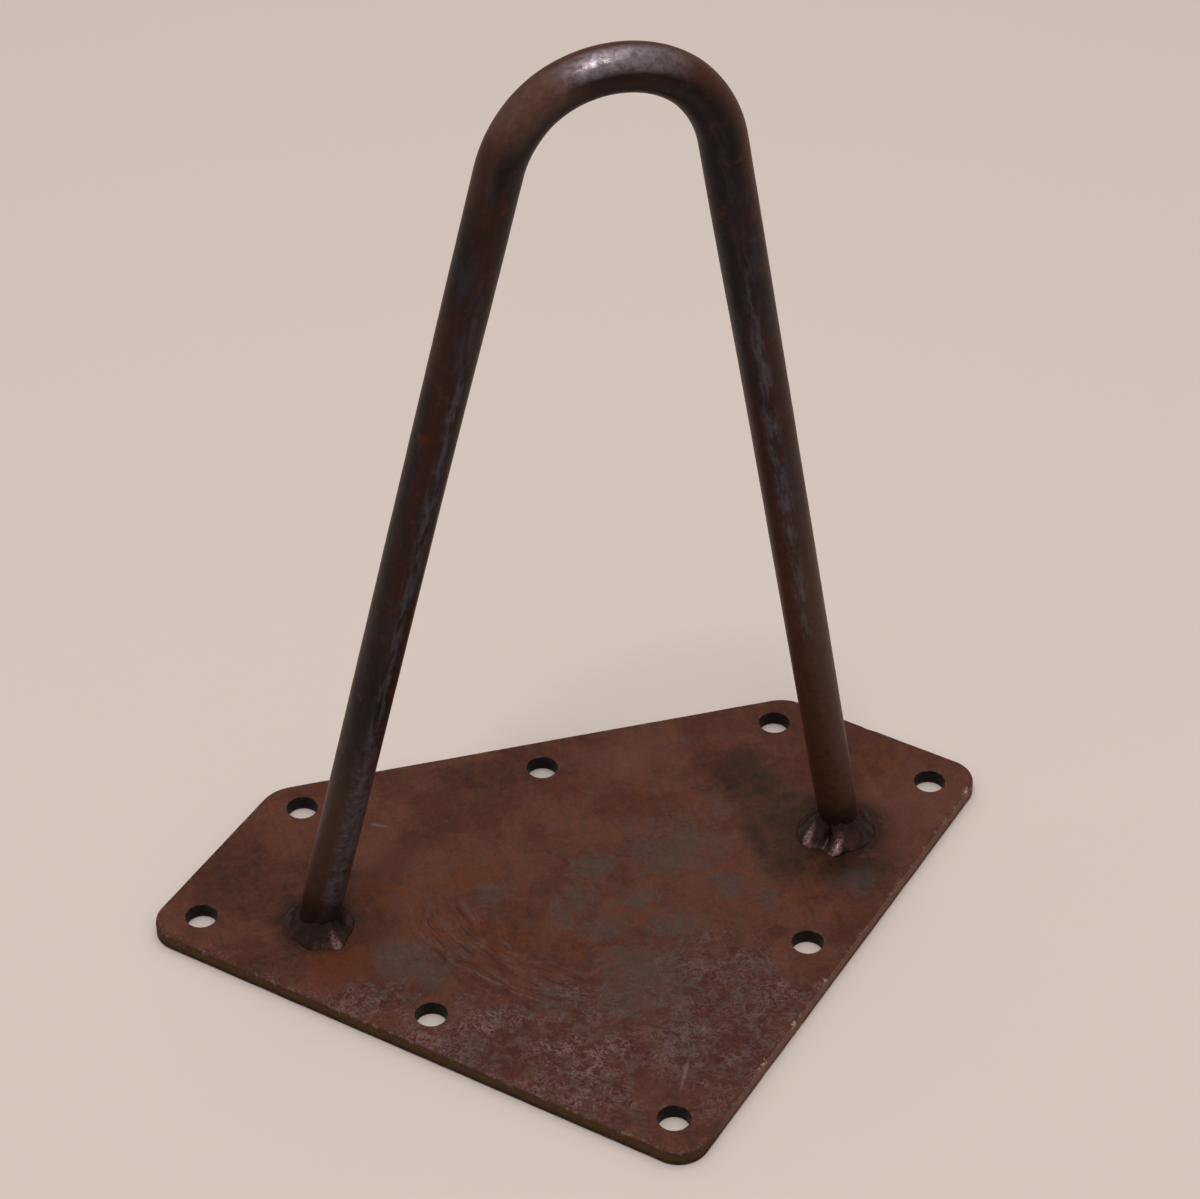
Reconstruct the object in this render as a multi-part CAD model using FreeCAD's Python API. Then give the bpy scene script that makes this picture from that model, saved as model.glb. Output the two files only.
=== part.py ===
import FreeCAD, Part
import os
from math import asin, atan2, cos, degrees, exp, hypot, pi, radians, sin, sqrt, tan

# Short two-rod hairpin table leg, standing on its mounting plate with the loop up.
# Millimetres and degrees. The origin lies on the plate's mounting face, midway between the rod's two feet.
# +X runs along the row of feet, the square outer corner of the plate points to -Y, and +Z goes up the leg.

# Mounting plate: a square with its inner corner cut off straight across
plate_side = 150.0
plate_short_side = 55.7
plate_thickness = 4.0
square_corner_radius = 7.5
blunt_corner_radius = 10.0
plate_edge_round = 0.45

# Screw holes, one at each corner and one midway along each long edge
hole_diameter = 7.5
hole_inset = 10.0
blunt_hole_inset = 8.4
cut_edge_hole_inset = 9.5
hole_chamfer = 0.3

# Rod, one round bar bent into a loop that leans out over the square corner
rod_diameter = 10.0
leg_height = 257.0
foot_from_long_side = 21.8
foot_from_short_side = 35.4
loop_lean = 6.9
crown_radius = 21.9
shoulder_radius = 33.0
crown_half_angle = 54.0

# Weld beads, one round each foot, laid in short overlapping steps that show as ripples from the lump at the start
right_weld_reach = 4.2
right_weld_climb = 6.0
right_weld_ripples = 5
right_weld_start = 226.0
left_weld_reach = 3.5
left_weld_climb = 5.2
left_weld_ripples = 7
left_weld_start = 284.0
weld_bite = 0.6
weld_start_rise = 2.3
weld_start_width = 24.0
ripple_rise = 0.8
ripple_unevenness = 0.35
ripple_slant = 100.0

rod_radius = rod_diameter / 2
hole_radius = hole_diameter / 2
foot_spacing = (plate_side - foot_from_long_side - foot_from_short_side) * sqrt(2)
corner_to_feet = (plate_side + foot_from_long_side - foot_from_short_side) / sqrt(2)
lean = radians(loop_lean)


def on_plate(from_left_side, from_right_side, height=0.0):
    """A point by its distances from the two long sides, which meet at the square outer corner."""
    x = (from_left_side - from_right_side) / sqrt(2)
    y = (from_left_side + from_right_side) / sqrt(2) - corner_to_feet
    return FreeCAD.Vector(x, y, height)


def rounded_outline(corners):
    """A closed wire through (point, radius) corners, each rounded by an arc tangent to its two edges."""
    points = [point for point, radius in corners]
    ends = []
    edges = []
    for index, (point, radius) in enumerate(corners):
        back = (points[index - 1] - point).normalize()
        ahead = (points[(index + 1) % len(points)] - point).normalize()
        half_angle = back.getAngle(ahead) / 2
        reach = radius / tan(half_angle)
        inward = (back + ahead).normalize()
        middle = point + inward * (radius / sin(half_angle) - radius)
        start, end = point + back * reach, point + ahead * reach
        ends.append((start, end))
        edges.append(Part.Arc(start, middle, end).toShape())
    for index, (start, end) in enumerate(ends):
        next_start = ends[(index + 1) % len(ends)][0]
        edges.append(Part.LineSegment(end, next_start).toShape())
    return Part.Wire(Part.sortEdges(edges)[0])


def hole_centres():
    """The screw holes' centres on the mounting face, by name."""
    far = plate_side - hole_inset
    middle = plate_side / 2
    cut_edge_sum = plate_side + plate_short_side
    blunt = cut_edge_sum - blunt_hole_inset * sqrt(2) - far
    cut_middle = (cut_edge_sum - cut_edge_hole_inset * sqrt(2)) / 2
    return {
        "outer_corner": on_plate(hole_inset, hole_inset),
        "left_corner": on_plate(hole_inset, far),
        "right_corner": on_plate(far, hole_inset),
        "left_side": on_plate(hole_inset, middle),
        "right_side": on_plate(middle, hole_inset),
        "left_blunt": on_plate(blunt, far),
        "right_blunt": on_plate(far, blunt),
        "cut_edge": on_plate(cut_middle, cut_middle),
    }


def is_flat_rim(edge, height):
    box = edge.BoundBox
    return abs(box.ZMin - height) < 1e-6 and abs(box.ZMax - height) < 1e-6


def make_mounting_plate():
    """The plate with its outer edges rounded over and its holes deburred by a small chamfer."""
    outline = rounded_outline(
        [
            (on_plate(0, 0), square_corner_radius),
            (on_plate(0, plate_side), square_corner_radius),
            (on_plate(plate_short_side, plate_side), blunt_corner_radius),
            (on_plate(plate_side, plate_short_side), blunt_corner_radius),
            (on_plate(plate_side, 0), square_corner_radius),
        ]
    )
    plate = Part.Face(outline).extrude(FreeCAD.Vector(0, 0, plate_thickness))
    rims = [edge for edge in plate.Edges if is_flat_rim(edge, 0) or is_flat_rim(edge, plate_thickness)]
    plate = plate.makeFillet(plate_edge_round, rims)
    for centre in hole_centres().values():
        plate = plate.cut(Part.makeCylinder(hole_radius, plate_thickness, centre))
    hole_rims = [
        edge
        for edge in plate.Edges
        if isinstance(edge.Curve, Part.Circle) and abs(edge.Curve.Radius - hole_radius) < 1e-6
        and (is_flat_rim(edge, 0) or is_flat_rim(edge, plate_thickness))
    ]
    return plate.makeChamfer(hole_chamfer, hole_rims)


# The loop is drawn in its own leaning plane: sideways is +X, and up runs along the lean from the plate's top face.
loop_up = FreeCAD.Vector(0, -sin(lean), cos(lean))
loop_normal = FreeCAD.Vector(0, -cos(lean), -sin(lean))
crown_top = (leg_height - plate_thickness - rod_radius) / cos(lean)


def in_loop(sideways, up):
    return FreeCAD.Vector(sideways, 0, plate_thickness) + loop_up * up


def loop_centres():
    """The bend's centres: the crown's, on the middle line, and the right shoulder's, beyond it."""
    crown = (0.0, crown_top - crown_radius)
    offset = shoulder_radius - crown_radius
    turn = radians(crown_half_angle)
    return crown, (-offset * sin(turn), crown[1] - offset * cos(turn))


def leg_splay():
    """The angle between a straight leg and the loop's middle line, in radians: the leg is tangent to its shoulder."""
    shoulder = loop_centres()[1]
    across, up = shoulder[0] - foot_spacing / 2, shoulder[1]
    return atan2(up, across) - asin(shoulder_radius / hypot(across, up)) - pi / 2


def rod_section(sideways, up, direction):
    """The bar's round section, square to the given direction."""
    circle = Part.Circle(in_loop(sideways, up), direction, rod_radius)
    return Part.Face(Part.Wire(circle.toShape()))


def make_right_half(splay):
    """The right leg and shoulder, from below the plate's top face up to the crown."""
    shoulder = loop_centres()[1]
    tangent = (shoulder[0] + shoulder_radius * cos(splay), shoulder[1] + shoulder_radius * sin(splay))
    leg_direction = loop_up * cos(splay) - FreeCAD.Vector(sin(splay), 0, 0)
    foot = in_loop(foot_spacing / 2, 0)
    leg_length = hypot(foot_spacing / 2 - tangent[0], tangent[1])
    overrun = rod_diameter
    leg = Part.makeCylinder(rod_radius, leg_length + overrun, foot - leg_direction * overrun, leg_direction)
    shoulder_turn = 90 - crown_half_angle - degrees(splay)
    section = rod_section(tangent[0], tangent[1], leg_direction)
    bend = section.revolve(in_loop(*shoulder), loop_normal, shoulder_turn)
    return leg, bend


def make_crown():
    crown = loop_centres()[0]
    turn = radians(crown_half_angle)
    start = (crown_radius * sin(turn), crown[1] + crown_radius * cos(turn))
    direction = loop_up * sin(turn) - FreeCAD.Vector(cos(turn), 0, 0)
    section = rod_section(start[0], start[1], direction)
    return section.revolve(in_loop(*crown), loop_normal, 2 * crown_half_angle)


def mirrored(shape):
    return shape.mirror(FreeCAD.Vector(0, 0, 0), FreeCAD.Vector(1, 0, 0))


def space_below_plate_top():
    """A block that holds all that lies under the plate's top face, to trim the rod and the welds flush with it."""
    reach = plate_side * 2
    depth = rod_diameter * 4
    corner = FreeCAD.Vector(-reach, -reach, plate_thickness - depth)
    return Part.makeBox(2 * reach, 2 * reach, depth, corner)


def make_hairpin_rod():
    """One bent bar, its two feet cut flush with the plate's top face."""
    leg, bend = make_right_half(leg_splay())
    pieces = [bend, leg, mirrored(bend), mirrored(leg)]
    bar = make_crown().fuse(pieces).removeSplitter()
    return bar.cut(space_below_plate_top())


def bead_thickness(turn, share, reach, ripples, start):
    """How far a bead stands out from the bar, at a turn round it and a share of its climb. Its top edge bites in."""
    body = (reach - ripple_rise) * (1 - share**1.5) - weld_bite * share
    wave = (1 - cos(ripples * (turn - start) + radians(ripple_slant) * share)) / 2
    ripple = ripple_rise * (1 - share) * wave * (1 + ripple_unevenness * sin(3 * turn))
    from_start = abs((turn - start + pi) % (2 * pi) - pi)
    lump = weld_start_rise * (1 - share**2) * exp(-((from_start / radians(weld_start_width)) ** 2))
    return body + ripple + lump


def make_weld(side, reach, climb, ripples, start_angle, rod):
    """A fillet bead round one foot, lofted ring by ring from its reach on the plate to its climb up the bar."""
    splay = leg_splay()
    leg_direction = loop_up * cos(splay) - FreeCAD.Vector(side * sin(splay), 0, 0)
    foot = in_loop(side * foot_spacing / 2, 0)
    bar_radius = rod_radius / leg_direction.z
    steps = ripples * 6
    rings = []
    for share in (0, 0.35, 0.7, 1):
        centre = foot + leg_direction * (share * climb / leg_direction.z)
        points = []
        for step in range(steps):
            turn = 2 * pi * step / steps
            radius = bar_radius + bead_thickness(turn, share, reach, ripples, radians(start_angle))
            points.append(centre + FreeCAD.Vector(cos(turn), sin(turn), 0) * radius)
        ring = Part.BSplineCurve()
        ring.interpolate(Points=points, PeriodicFlag=True, Parameters=[step / steps for step in range(steps + 1)])
        rings.append(Part.Wire(ring.toShape()))
    return Part.makeLoft(rings, True, True).cut(rod)


def main():
    plate = make_mounting_plate()
    rod = make_hairpin_rod()
    right_bead = (right_weld_reach, right_weld_climb, right_weld_ripples, right_weld_start)
    left_bead = (left_weld_reach, left_weld_climb, left_weld_ripples, left_weld_start)
    parts = {
        "mounting_plate": plate,
        "hairpin_rod": rod,
        "weld_right": make_weld(1, *right_bead, rod),
        "weld_left": make_weld(-1, *left_bead, rod),
    }
    os.makedirs("parts", exist_ok=True)
    for name, shape in parts.items():
        assert shape.isValid() and len(shape.Solids) == 1, name
        shape.Solids[0].exportStep(f"parts/{name}.step")
        print(name, round(shape.Volume, 1), "mm3")
    print("leg splay", round(degrees(leg_splay()), 2), "foot spacing", round(foot_spacing, 2))
    for name, centre in hole_centres().items():
        print(name, round(centre.x, 3), round(centre.y, 3))


main()
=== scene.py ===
import math
import random

import bmesh
import bpy
from mathutils import Matrix, Vector, noise
from mathutils.geometry import delaunay_2d_cdt


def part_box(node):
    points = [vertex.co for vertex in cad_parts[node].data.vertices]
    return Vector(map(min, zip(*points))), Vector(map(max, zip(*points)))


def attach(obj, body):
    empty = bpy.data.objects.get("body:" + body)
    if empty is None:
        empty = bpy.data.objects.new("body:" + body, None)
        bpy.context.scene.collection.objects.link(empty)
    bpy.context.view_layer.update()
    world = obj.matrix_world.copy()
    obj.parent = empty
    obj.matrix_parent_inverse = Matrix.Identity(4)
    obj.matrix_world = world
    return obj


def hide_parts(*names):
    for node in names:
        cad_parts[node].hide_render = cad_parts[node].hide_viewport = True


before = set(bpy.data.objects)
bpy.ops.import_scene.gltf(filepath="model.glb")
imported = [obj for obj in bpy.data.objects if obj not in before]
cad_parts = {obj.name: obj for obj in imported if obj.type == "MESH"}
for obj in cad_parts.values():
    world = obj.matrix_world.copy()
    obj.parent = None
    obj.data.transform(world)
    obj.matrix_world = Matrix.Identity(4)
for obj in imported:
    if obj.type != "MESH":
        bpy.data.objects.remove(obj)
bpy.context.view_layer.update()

# A short two-rod hairpin table leg in raw, lightly rusted steel, standing on its mounting plate.
# Sizes and places are millimetres and degrees in the row frame, and turn into metres where a mesh is made.
METRE = 0.001

# Plate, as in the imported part
plate_side = 150.0
plate_short_side = 55.7
square_corner_radius = 7.5
blunt_corner_radius = 10.0
plate_edge_round = 0.45
hole_diameter = 7.5
hole_inset = 10.0
blunt_hole_inset = 8.4
cut_edge_hole_inset = 9.5
hole_chamfer = 0.3

# Rod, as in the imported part
rod_diameter = 10.0
foot_from_long_side = 21.8
foot_from_short_side = 35.4
loop_lean = 6.9
crown_radius = 21.9
shoulder_radius = 33.0
crown_half_angle = 54.0

# Weld beads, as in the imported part
right_weld_reach = 4.2
right_weld_climb = 6.0
left_weld_reach = 3.5
left_weld_climb = 5.2

plate_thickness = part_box("mounting_plate")[1].z / METRE
leg_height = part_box("hairpin_rod")[1].z / METRE
rod_radius = rod_diameter / 2
foot_spacing = (plate_side - foot_from_long_side - foot_from_short_side) * math.sqrt(2)
corner_to_feet = (plate_side + foot_from_long_side - foot_from_short_side) / math.sqrt(2)
lean = math.radians(loop_lean)


# Where a seed moves the noise, so that each use has its own
seed_shift = (1.0, 1.7, 0.3)


def ripple_noise(point, size, seed):
    """Smooth noise from -1 to 1 whose lumps are about size millimetres across."""
    return noise.noise(Vector(point) / size + Vector([seed * share for share in seed_shift]))


def join_rings(faces, first, second):
    """A band of quads between two rings of vertex numbers."""
    count = len(first)
    for index in range(count):
        after = (index + 1) % count
        faces.append((first[index], first[after], second[after], second[index]))


def add_ring(vertices, points):
    start = len(vertices)
    vertices.extend(points)
    return list(range(start, len(vertices)))


def make_piece(name, vertices, faces, material, attributes=()):
    """A smooth mesh object from millimetre vertices, with its normals turned outwards."""
    mesh = bpy.data.meshes.new(name)
    mesh.from_pydata([Vector(vertex) * METRE for vertex in vertices], [], faces)
    for label, kind, field, values in attributes:
        layer = mesh.attributes.new(label, kind, "POINT")
        layer.data.foreach_set(field, values)
    shape = bmesh.new()
    shape.from_mesh(mesh)
    bmesh.ops.recalc_face_normals(shape, faces=shape.faces)
    shape.to_mesh(mesh)
    shape.free()
    mesh.shade_smooth()
    mesh.materials.append(material)
    piece = bpy.data.objects.new(name, mesh)
    bpy.context.scene.collection.objects.link(piece)
    return piece


# Plate mesh
outline_spacing = 1.2
arc_spacing = 0.6
top_grid = 1.05
bottom_grid = 2.2
grid_margin = 0.7
grid_jitter = 0.2
grid_seed = 7
same_point = 1e-5
rim_support = 0.6
rim_steps = 4
side_rows = 4
hole_steps = 56
rim_top_wear = 0.15
hole_wear = 0.5
upright_from = 0.3
plate_wave = 0.09
plate_wave_size = 34.0
plate_pit = 0.03
plate_pit_size = 3.5
pit_seed_shift = 5
top_seed = 1.0
bottom_seed = 9.0
side_wobble = 0.1
side_wobble_size = 6.0
side_seed = 3.1
notch_place = (82.6, 31.7)
notch_width = 1.1
notch_depth = 0.55


def on_plate(from_left_side, from_right_side):
    """A point by its distances from the two long sides, which meet at the square outer corner."""
    x = (from_left_side - from_right_side) / math.sqrt(2)
    y = (from_left_side + from_right_side) / math.sqrt(2) - corner_to_feet
    return Vector((x, y))


def plate_corners():
    """The plate's corners with their radii, counter-clockwise from above."""
    return [
        (on_plate(0, 0), square_corner_radius),
        (on_plate(plate_side, 0), square_corner_radius),
        (on_plate(plate_side, plate_short_side), blunt_corner_radius),
        (on_plate(plate_short_side, plate_side), blunt_corner_radius),
        (on_plate(0, plate_side), square_corner_radius),
    ]


def hole_centres():
    far = plate_side - hole_inset
    middle = plate_side / 2
    cut_edge_sum = plate_side + plate_short_side
    blunt = cut_edge_sum - blunt_hole_inset * math.sqrt(2) - far
    cut_middle = (cut_edge_sum - cut_edge_hole_inset * math.sqrt(2)) / 2
    places = [(hole_inset, hole_inset), (hole_inset, far), (far, hole_inset), (hole_inset, middle)]
    places += [(middle, hole_inset), (blunt, far), (far, blunt), (cut_middle, cut_middle)]
    return [on_plate(*place) for place in places]


def corner_arcs(corners):
    """For each corner its arc's centre, radius, first and last outward normal."""
    arcs = []
    for index, (corner, radius) in enumerate(corners):
        back = (corners[index - 1][0] - corner).normalized()
        ahead = (corners[(index + 1) % len(corners)][0] - corner).normalized()
        half_angle = back.angle(ahead) / 2
        centre = corner + (back + ahead).normalized() * (radius / math.sin(half_angle))
        arcs.append((centre, radius, Vector((-back.y, back.x)), Vector((ahead.y, -ahead.x))))
    return arcs


def outline_samples(arcs):
    """(point, outward normal) samples round the outline: arcs at the corners, and straight runs between."""
    samples = []
    for index, (centre, radius, first, last) in enumerate(arcs):
        turn = first.angle(last)
        start = math.atan2(first.y, first.x)
        steps = math.ceil(radius * turn / arc_spacing)
        for step in range(steps + 1):
            angle = start + turn * step / steps
            normal = Vector((math.cos(angle), math.sin(angle)))
            samples.append((centre + normal * radius, normal))
        next_centre, next_radius, next_first, _ = arcs[(index + 1) % len(arcs)]
        begin = centre + last * radius
        end = next_centre + next_first * next_radius
        steps = math.ceil((end - begin).length / outline_spacing)
        for step in range(1, steps):
            samples.append((begin.lerp(end, step / steps), last))
    return samples


def depth_inside(point, arcs):
    """How far a point lies inside the rounded outline."""
    depth = math.inf
    for index, (centre, radius, first, last) in enumerate(arcs):
        offset = point - centre
        if first.cross(offset) >= 0 and offset.cross(last) >= 0:
            return radius - offset.length
        depth = min(depth, radius - offset.dot(last))
    return depth


def scattered_points(spacing, arcs, holes, source):
    """A loosely jittered honeycomb of points, clear of the outline and the holes."""
    hole_clearance = hole_diameter / 2 + hole_chamfer + rim_support + grid_margin
    edge_clearance = plate_edge_round + rim_support + grid_margin
    low = min(centre.y - radius for centre, radius, _, _ in arcs)
    reach = max(abs(centre.x) + radius for centre, radius, _, _ in arcs)
    row_height = spacing * math.sqrt(3) / 2
    rows = math.ceil((max(centre.y + radius for centre, radius, _, _ in arcs) - low) / row_height)
    columns = math.ceil(2 * reach / spacing)
    points = []
    for row in range(rows + 1):
        for column in range(columns + 1):
            x = -reach + (column + 0.5 * (row % 2)) * spacing
            y = low + row * row_height
            jitter = [source.uniform(-grid_jitter, grid_jitter) * spacing for _ in range(2)]
            point = Vector((x + jitter[0], y + jitter[1]))
            if depth_inside(point, arcs) < edge_clearance:
                continue
            if all((point - hole).length > hole_clearance for hole in holes):
                points.append(point)
    return points


def edge_profile(round_size):
    """(inset, height, wear) rows from the top face round the edge to the bottom face."""
    rows = [(round_size + rim_support, plate_thickness, rim_top_wear)]
    for step in range(rim_steps + 1):
        angle = math.pi / 2 * step / rim_steps
        inset = round_size * (1 - math.sin(angle))
        rows.append((inset, plate_thickness - round_size * (1 - math.cos(angle)), 1.0))
    for step in range(1, side_rows):
        height = plate_thickness - round_size - (plate_thickness - 2 * round_size) * step / side_rows
        rows.append((0.0, height, 0.0))
    upper = rows[: rim_steps + 2]
    return rows + [(inset, plate_thickness - height, wear) for inset, height, wear in reversed(upper)]


def side_shape(point):
    """How far the sheared side lies inside its straight line: slight waves, and one notch."""
    wave = side_wobble * (0.5 + 0.5 * ripple_noise((point.x, point.y, 0), side_wobble_size, side_seed))
    from_notch = (point - Vector(notch_place)).length
    return wave + notch_depth * math.exp(-((from_notch / notch_width) ** 2))


def face_relief(x, y, seed):
    """The plate's faces are a little wavy and pitted, never proud of the flat."""
    wave = 0.5 + 0.5 * ripple_noise((x, y, 0), plate_wave_size, seed)
    pit = max(0.0, ripple_noise((x, y, 0), plate_pit_size, seed + pit_seed_shift))
    return plate_wave * wave + plate_pit * pit


def fill_face(vertices, faces, loops, points, height):
    """Triangles between the outer loop and the hole loops, through the scattered points."""
    numbers = [number for loop in loops for number in loop]
    flat = [Vector(vertices[number][:2]) for number in numbers]
    edges = []
    start = 0
    for loop in loops:
        count = len(loop)
        edges += [(start + index, start + (index + 1) % count) for index in range(count)]
        start += count
    numbers += add_ring(vertices, [(point.x, point.y, height) for point in points])
    placed, _, triangles, origins, _, _ = delaunay_2d_cdt(flat + points, edges, [], 1, same_point)
    assert len(placed) == len(numbers) and all(origins)
    holes = [set(loop) for loop in loops[1:]]
    for triangle in triangles:
        corners = {numbers[origins[corner][0]] for corner in triangle}
        if not any(corners <= hole for hole in holes):
            faces.append(tuple(numbers[origins[corner][0]] for corner in triangle))


def mark(marks, count, *values):
    """The same edge wear, side face and hole wall values for a number of new vertices."""
    for label, value in zip(marks, values):
        marks[label] += [value] * count


def add_outer_rim(vertices, faces, marks, arcs):
    """Build the plate's outer edge from the top face to the bottom one. Returns its end rings."""
    samples = outline_samples(arcs)
    rings = []
    for inset, height, wear in edge_profile(plate_edge_round):
        waviness = 1.0 if inset < plate_edge_round + rim_support else 0.0
        ring = [point - normal * (inset + waviness * side_shape(point)) for point, normal in samples]
        rings.append(add_ring(vertices, [(point.x, point.y, height) for point in ring]))
        upright = 1.0 if inset < plate_edge_round * upright_from else 0.0
        mark(marks, len(ring), wear, upright, 0.0)
    for first, second in zip(rings, rings[1:]):
        join_rings(faces, first, second)
    return rings[0], rings[-1]


def add_hole_rim(vertices, faces, marks, centre):
    """Build a hole's chamfers and wall from the top face to the bottom one. Returns its end rings."""
    rings = []
    for inset, height, wear in edge_profile(hole_chamfer):
        radius = hole_diameter / 2 + inset
        ring = []
        for step in range(hole_steps):
            turn = 2 * math.pi * step / hole_steps
            ring.append((centre.x + radius * math.cos(turn), centre.y + radius * math.sin(turn), height))
        rings.append(add_ring(vertices, ring))
        upright = 1.0 if inset < hole_chamfer * upright_from else 0.0
        mark(marks, hole_steps, wear * hole_wear, 0.0, upright)
    for first, second in zip(rings, rings[1:]):
        join_rings(faces, first, second)
    return rings[0], rings[-1]


def make_plate(material):
    """The five-sided plate with rounded edges, deburred holes, slight waves and pits."""
    source = random.Random(grid_seed)
    arcs = corner_arcs(plate_corners())
    holes = hole_centres()
    vertices, faces = [], []
    marks = {"edge_wear": [], "side_face": [], "hole_wall": []}
    rims = [add_outer_rim(vertices, faces, marks, arcs)]
    rims += [add_hole_rim(vertices, faces, marks, centre) for centre in holes]
    top_loops, bottom_loops = zip(*rims)
    for loops, spacing, height in (
        (top_loops, top_grid, plate_thickness),
        (bottom_loops, bottom_grid, 0.0),
    ):
        points = scattered_points(spacing, arcs, holes, source)
        fill_face(vertices, faces, loops, points, height)
        mark(marks, len(points), 0.0, 0.0, 0.0)

    shaped = []
    for x, y, z in vertices:
        share = 2 * z / plate_thickness - 1
        depth = face_relief(x, y, top_seed if share > 0 else bottom_seed)
        shaped.append((x, y, z - share * depth))
    attributes = [(label, "FLOAT", "value", values) for label, values in marks.items()]
    return make_piece("plate", shaped, faces, material, attributes)


# Rod mesh
rod_around = 72
rod_step = 1.1
foot_sink = 0.25
foot_neighbour = 5
rod_relief = 0.045
rod_relief_size = 5.0
rod_relief_seed = 2.0
rod_wave = 0.05
rod_wave_size = 28.0
rod_wave_seed = 4.0
bend_swell = 0.4
bend_swell_size = 45.0

loop_up = Vector((0, -math.sin(lean), math.cos(lean)))
loop_front = Vector((0, -math.cos(lean), -math.sin(lean)))
crown_top = (leg_height - plate_thickness - rod_radius) / math.cos(lean)


def in_loop(sideways, up):
    return Vector((sideways, 0, plate_thickness)) + loop_up * up


def loop_centres():
    crown = Vector((0.0, crown_top - crown_radius))
    turn = math.radians(crown_half_angle)
    offset = shoulder_radius - crown_radius
    return crown, Vector((-offset * math.sin(turn), crown.y - offset * math.cos(turn)))


def leg_splay():
    """The angle between a straight leg and the loop's middle line: the leg is tangent to its shoulder."""
    shoulder = loop_centres()[1]
    across, up = shoulder.x - foot_spacing / 2, shoulder.y
    return math.atan2(up, across) - math.asin(shoulder_radius / math.hypot(across, up)) - math.pi / 2


def half_path():
    """(point, outward angle) samples in the loop's plane, from the right foot up its leg to the crown."""
    crown, shoulder = loop_centres()
    splay = leg_splay()
    turn = math.radians(crown_half_angle)
    foot = Vector((foot_spacing / 2, 0))
    tangent = shoulder + Vector((math.cos(splay), math.sin(splay))) * shoulder_radius
    samples = []
    steps = math.ceil((tangent - foot).length / rod_step)
    for step in range(steps):
        samples.append((foot.lerp(tangent, step / steps), splay))
    for centre, radius, start, end in (
        (shoulder, shoulder_radius, splay, math.pi / 2 - turn),
        (crown, crown_radius, math.pi / 2 - turn, math.pi / 2),
    ):
        steps = math.ceil(radius * (end - start) / rod_step)
        for step in range(steps):
            angle = start + (end - start) * step / steps
            samples.append((centre + Vector((math.cos(angle), math.sin(angle))) * radius, angle))
    return samples


def rod_path():
    """The whole centre line from the right foot to the left one, as (point, outward angle) samples."""
    crown = loop_centres()[0]
    half = half_path()
    top = [(crown + Vector((0, crown_radius)), math.pi / 2)]
    left = [(Vector((-point.x, point.y)), math.pi - angle) for point, angle in reversed(half)]
    return half + top + left


def rod_half_length():
    """Half the bar's length along its centre line."""
    path = rod_path()
    return sum((after[0] - before[0]).length for before, after in zip(path, path[1:])) / 2


def bar_ring(point, angle, along):
    """The bar's outline round one point of its centre line, and each point's place on the straight bar."""
    outward = Vector((math.cos(angle), 0, 0)) + loop_up * math.sin(angle)
    centre = in_loop(point.x, point.y)
    from_bend = (point - loop_centres()[0]).length - crown_radius
    swell = bend_swell * math.exp(-(from_bend / bend_swell_size) ** 2)
    ring, places = [], []
    for step in range(rod_around):
        turn = 2 * math.pi * step / rod_around
        place = (along, rod_radius * math.cos(turn), rod_radius * math.sin(turn))
        lumps = 0.5 + 0.5 * ripple_noise(place, rod_relief_size, rod_relief_seed)
        waves = 0.5 + 0.5 * ripple_noise(place, rod_wave_size, rod_wave_seed)
        inner = max(0.0, -math.cos(turn)) ** 2
        radius = rod_radius - rod_relief * lumps - rod_wave * waves + swell * inner
        side = outward * (radius * math.cos(turn))
        ring.append(centre + side + loop_front * (radius * math.sin(turn)))
        places.extend(place)
    return ring, places


def trim_feet(vertices, rings):
    """Move the end rings along the bar until they lie a little under the plate's top face."""
    for ring, neighbour in (
        (rings[0], rings[foot_neighbour]),
        (rings[-1], rings[-1 - foot_neighbour]),
    ):
        for number, other in zip(ring, neighbour):
            direction = (vertices[other] - vertices[number]).normalized()
            drop = vertices[number].z - plate_thickness + foot_sink
            vertices[number] = vertices[number] - direction * (drop / direction.z)


def make_rod(material):
    """The bent round bar, a little uneven like rolled stock and slightly thickened inside its bends."""
    vertices, faces, places, rings = [], [], [], []
    path = rod_path()
    along = -rod_half_length()
    for index, (point, angle) in enumerate(path):
        if index:
            along += (point - path[index - 1][0]).length
        ring, ring_places = bar_ring(point, angle, along)
        rings.append(add_ring(vertices, ring))
        places.extend(ring_places)
    trim_feet(vertices, rings)
    for first, second in zip(rings, rings[1:]):
        join_rings(faces, first, second)
    for ring in (rings[0], rings[-1]):
        middle = sum((vertices[number] for number in ring), Vector()) / rod_around
        tip = add_ring(vertices, [middle])[0]
        places.extend(places[3 * ring[0] : 3 * ring[0] + 3])
        faces.extend((ring[step], ring[(step + 1) % rod_around], tip) for step in range(rod_around))
    return make_piece("rod", vertices, faces, material, [("bar_place", "FLOAT_VECTOR", "vector", places)])


# Weld meshes
weld_around = 260
weld_rows = 30
weld_sink = 0.2
weld_bite = 0.5
weld_fullness = 2.4
toe_roll = 0.5
toe_rise = 0.22
toe_width = 0.17
toe_start = 8
ripple_rise = 0.1
ripple_level = 0.6
ripple_slant = 1.8
lump_rise = 0.7
lump_size = 2.8
right_ripples = 15
right_seed = 1.3
left_ripples = 8
left_seed = 6.1
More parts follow.
